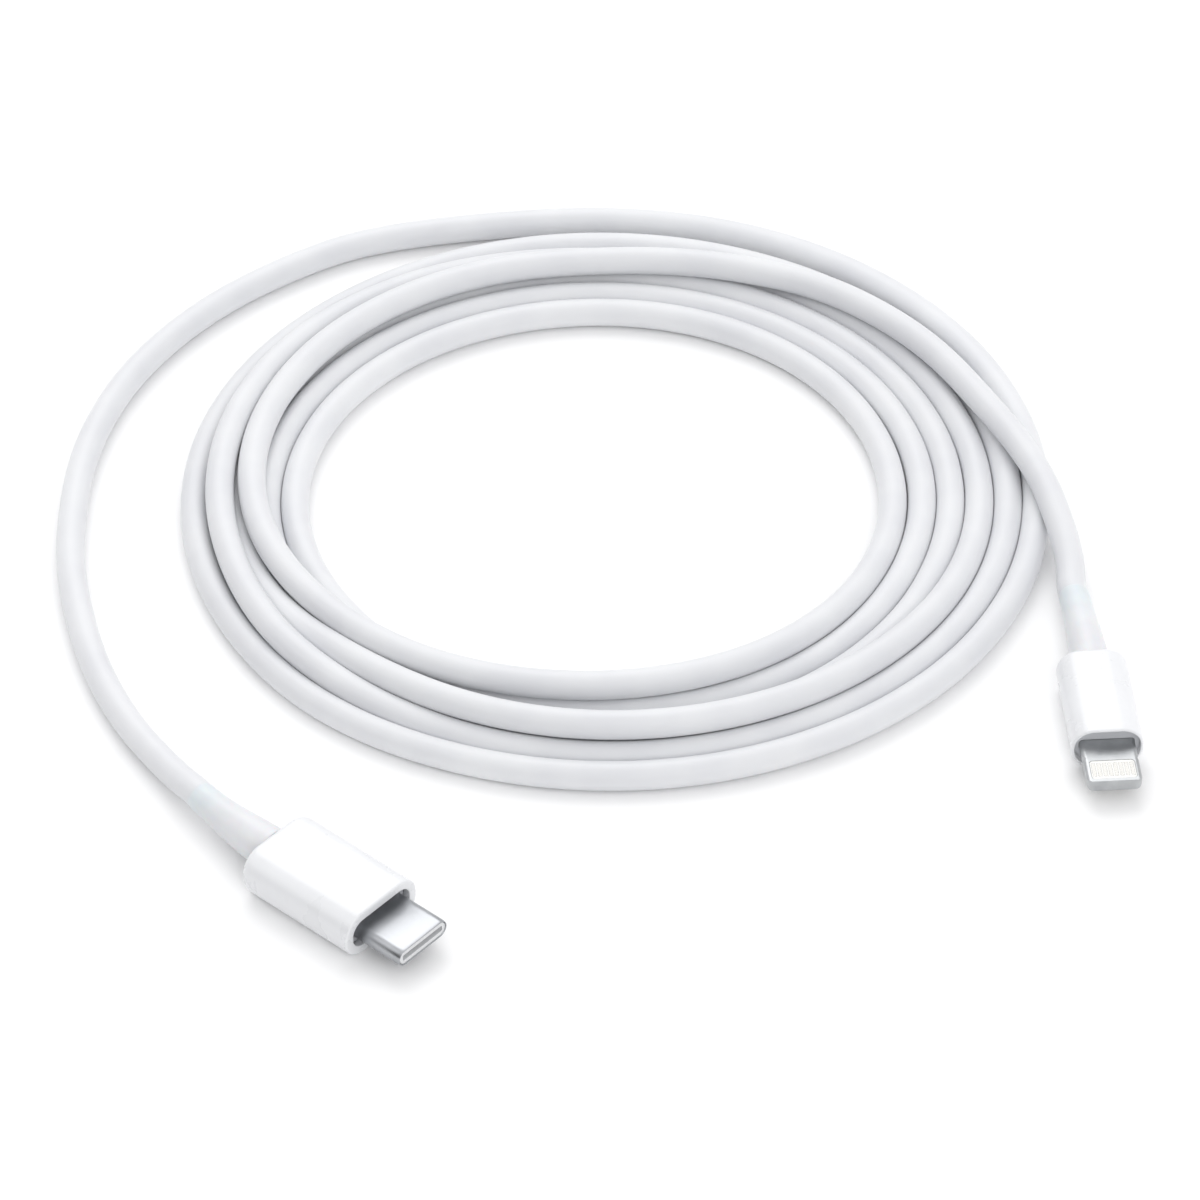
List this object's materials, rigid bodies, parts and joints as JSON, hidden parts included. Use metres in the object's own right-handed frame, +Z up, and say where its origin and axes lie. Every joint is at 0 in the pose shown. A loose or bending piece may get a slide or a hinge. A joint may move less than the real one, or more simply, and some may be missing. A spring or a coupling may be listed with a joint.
{
  "type": "charging cable",
  "caption": "Round white charging cable lying in a loose coil, with a reversible oval-shell plug on one end and a flat contact-blade plug on the other.",
  "frame": {"origin": "middle of the footprint of the two plugs, on the surface that the cable lies on", "axes": "+Z up from that surface; +X along the wider spread of the two plugs, from the type-C plug towards the blade plug; +Y from the plugs towards the coil"},
  "size_m": [0.1334, 0.1439, 0.007],
  "materials": {
    "jacket": "satin",
    "housing_plastic": "gloss",
    "face_plastic": "satin",
    "mould_plastic": "matte",
    "white_insulator": "satin",
    "grey_insulator": "satin",
    "bright_steel": "satin",
    "frame_steel": "satin",
    "tin_plate": "satin",
    "copper": "satin",
    "contact_metal": "satin",
    "circuit_board": "satin",
    "chip_resin": "matte",
    "red_wire": "satin",
    "black_wire": "satin",
    "green_wire": "satin",
    "white_wire": "satin",
    "blue_wire": "satin"
  },
  "bodies": {
    "cord": {"cord_coil": "jacket", "cord_type_c_tail": "jacket", "cord_blade_tail": "jacket"},
    "type_c_plug": {"type_c_housing": "housing_plastic", "type_c_front_face": "face_plastic", "type_c_strain_relief": "jacket", "type_c_crimp_ferrule": "copper", "type_c_inner_mould": "mould_plastic", "type_c_shield_upper": "tin_plate", "type_c_shield_lower": "tin_plate", "type_c_shell": "bright_steel", "type_c_contact_insulator": "grey_insulator", "type_c_upper_contacts": "contact_metal", "type_c_lower_contacts": "contact_metal", "type_c_upper_ground_pad": "tin_plate", "type_c_lower_ground_pad": "tin_plate", "type_c_mid_plate": "bright_steel", "type_c_paddle_card": "circuit_board", "type_c_resistor": "chip_resin", "type_c_wire_1": "red_wire", "type_c_wire_2": "black_wire", "type_c_wire_3": "green_wire", "type_c_wire_4": "white_wire", "type_c_wire_5": "blue_wire"},
    "left_latch": {"type_c_left_latch": "bright_steel"},
    "right_latch": {"type_c_right_latch": "bright_steel"},
    "blade_plug": {"blade_housing": "housing_plastic", "blade_front_face": "face_plastic", "blade_strain_relief": "jacket", "blade_crimp_ferrule": "copper", "blade_inner_mould": "mould_plastic", "blade_shield_upper": "tin_plate", "blade_shield_lower": "tin_plate", "blade_frame": "frame_steel", "blade_insulator": "white_insulator", "blade_board": "circuit_board", "blade_chip": "chip_resin", "blade_wire_1": "red_wire", "blade_wire_2": "black_wire", "blade_wire_3": "green_wire", "blade_wire_4": "white_wire", "blade_upper_contact_1": "contact_metal", "blade_lower_contact_1": "contact_metal", "blade_upper_contact_2": "contact_metal", "blade_lower_contact_2": "contact_metal", "blade_upper_contact_3": "contact_metal", "blade_lower_contact_3": "contact_metal", "blade_upper_contact_4": "contact_metal", "blade_lower_contact_4": "contact_metal", "blade_upper_contact_5": "contact_metal", "blade_lower_contact_5": "contact_metal", "blade_upper_contact_6": "contact_metal", "blade_lower_contact_6": "contact_metal", "blade_upper_contact_7": "contact_metal", "blade_lower_contact_7": "contact_metal", "blade_upper_contact_8": "contact_metal", "blade_lower_contact_8": "contact_metal"}
  },
  "joints": [
    {"name": "type_c_swing", "type": "hinge", "parent": "cord", "child": "type_c_plug", "pos_m": [-0.05133, -0.00952, 0.0031], "axis": [0, 0, 1], "range_deg": [-30, 30], "stiffness_Nm_per_rad": 0.01, "deforming": ["type_c_strain_relief"]},
    {"name": "blade_swing", "type": "hinge", "parent": "cord", "child": "blade_plug", "pos_m": [0.05121, 0.02568, 0.0029], "axis": [0, 0, 1], "range_deg": [-30, 30], "stiffness_Nm_per_rad": 0.01, "deforming": ["blade_strain_relief"]},
    {"name": "left_latch_flex", "type": "hinge", "parent": "type_c_plug", "child": "left_latch", "pos_m": [-0.03479, -0.01977, 0.0031], "axis": [0, 0, 1], "range_deg": [0, 1.5], "stiffness_Nm_per_rad": 0.3},
    {"name": "right_latch_flex", "type": "hinge", "parent": "type_c_plug", "child": "right_latch", "pos_m": [-0.03889, -0.02447, 0.0031], "axis": [0, 0, -1], "range_deg": [0, 1.5], "stiffness_Nm_per_rad": 0.3}
  ]
}
